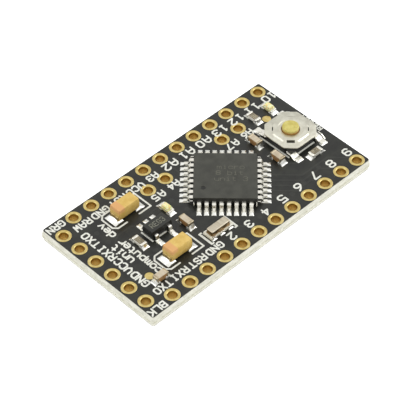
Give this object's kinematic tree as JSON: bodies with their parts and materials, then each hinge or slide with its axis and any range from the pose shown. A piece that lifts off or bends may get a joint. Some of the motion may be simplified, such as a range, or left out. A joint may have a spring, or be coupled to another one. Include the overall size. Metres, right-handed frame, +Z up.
{
  "type": "microcontroller dev board",
  "caption": "Small black microcontroller board: plated pin holes along both sides and one end, square chip set diagonally, regulator, capacitors, indicator lights and a press-down reset button.",
  "frame": {"origin": "centre of the board's underside", "axes": "+X along the length from the six-hole header to the reset button, +Y to the analog row, +Z up through the fitted face"},
  "size_m": [0.033, 0.0174, 0.003],
  "materials": {
    "laminate": "glass-epoxy laminate, sawn edge",
    "solder_mask": "black satin solder mask",
    "gold_plating": "immersion gold over copper",
    "legend_ink": "white printed ink",
    "tin": "bright tin plate",
    "copper": "copper foil",
    "solder": "bright solder",
    "mould_compound": "moulded epoxy, fine texture",
    "silicon": "polished silicon",
    "alumina": "fired alumina",
    "piezo_ceramic": "piezo ceramic",
    "can_steel": "nickel-plated steel",
    "cover_steel": "satin nickel-plated steel",
    "switch_plastic": "black moulded plastic",
    "plunger_plastic": "olive-yellow moulded plastic",
    "tantalum_case": "gold moulded epoxy",
    "tantalum_powder": "sintered tantalum",
    "resistor_glass": "dark glass coat",
    "capacitor_ceramic": "fired brown ceramic",
    "lens_resin": "phosphor-filled resin"
  },
  "bodies": {
    "board": {"board_core": "laminate", "component_lands": "tin", "copper_traces": "copper", "far_row_pin_holes": "gold_plating", "fiducial_marks": "gold_plating", "header_pin_holes": "gold_plating", "inner_pin_holes": "gold_plating", "input_tantalum_anode": "tantalum_powder", "input_tantalum_body": "tantalum_case", "input_tantalum_terminals": "tin", "led_dies": "silicon", "legend_outlines": "legend_ink", "mcu_body": "mould_compound", "mcu_bond_wires": "gold_plating", "mcu_decoupler_far_body": "capacitor_ceramic", "mcu_decoupler_far_ends": "tin", "mcu_decoupler_near_body": "capacitor_ceramic", "mcu_decoupler_near_ends": "tin", "mcu_die": "silicon", "mcu_die_paddle": "copper", "mcu_leads": "tin", "mcu_solder_joints": "solder", "near_row_pin_holes": "gold_plating", "output_tantalum_anode": "tantalum_powder", "output_tantalum_body": "tantalum_case", "output_tantalum_terminals": "tin", "power_led_base": "alumina", "power_led_lens": "lens_resin", "power_led_resistor_body": "alumina", "power_led_resistor_ends": "tin", "power_led_terminals": "tin", "regulator_body": "mould_compound", "regulator_decoupler_body": "capacitor_ceramic", "regulator_decoupler_ends": "tin", "regulator_die": "silicon", "regulator_leads": "tin", "reset_coupler_body": "capacitor_ceramic", "reset_coupler_ends": "tin", "reset_pullup_body": "alumina", "reset_pullup_ends": "tin", "resistor_overcoats": "resistor_glass", "resonator_base": "alumina", "resonator_can": "can_steel", "resonator_element": "piezo_ceramic", "resonator_terminals": "tin", "small_part_solder_joints": "solder", "solder_mask_bottom": "solder_mask", "solder_mask_top": "solder_mask", "status_led_base": "alumina", "status_led_lens": "lens_resin", "status_led_resistor_body": "alumina", "status_led_resistor_ends": "tin", "status_led_terminals": "tin", "switch_base": "switch_plastic", "switch_contact_dome": "can_steel", "switch_cover": "cover_steel", "switch_solder_joints": "solder", "switch_terminals": "tin"},
    "reset_plunger": {"switch_plunger": "plunger_plastic"}
  },
  "joints": [
    {"name": "reset_press", "type": "slide", "parent": "board", "child": "reset_plunger", "axis": [0, 0, -1], "range_m": [0, 0.00025], "stiffness_N_per_m": 6000, "springref_m": -0.00002, "deforming": ["switch_contact_dome"]}
  ]
}
